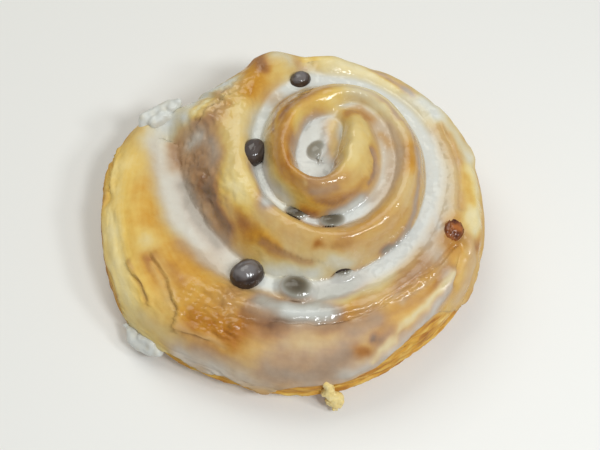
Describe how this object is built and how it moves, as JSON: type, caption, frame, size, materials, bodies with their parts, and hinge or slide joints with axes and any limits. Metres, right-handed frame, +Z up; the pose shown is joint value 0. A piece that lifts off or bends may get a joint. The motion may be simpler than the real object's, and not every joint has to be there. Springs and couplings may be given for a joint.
{
  "type": "raisin bun",
  "caption": "Round coiled bun of laminated dough with a raised off-centre middle, raisins in its spiral groove and white sugar icing pooled and dripping over it.",
  "frame": {"origin": "middle of the bounding box, on the flat base the bun rests on", "axes": "+Z up; -Y is the front, where the outer turn is widest and the icing drips; the coil's middle lies towards +X and +Y"},
  "size_m": [0.1186, 0.1121, 0.0406],
  "materials": {
    "baked_dough": "golden baked dough under a thin sugar glaze",
    "sugar_icing": "white water icing, glossy and slightly translucent",
    "raisin_skin": "dark brown wrinkled skin, glossy where glazed"
  },
  "bodies": {
    "root": {"dough": "baked_dough", "icing_swirl": "sugar_icing", "icing_tail": "sugar_icing", "icing_eye": "sugar_icing", "icing_front": "sugar_icing", "raisin_eye": "raisin_skin", "raisin_left": "raisin_skin", "raisin_lip": "raisin_skin", "raisin_hollow": "raisin_skin", "raisin_back": "raisin_skin", "raisin_front_left": "raisin_skin", "raisin_front": "raisin_skin", "raisin_pool": "raisin_skin", "raisin_baked": "raisin_skin"}
  },
  "joints": []
}
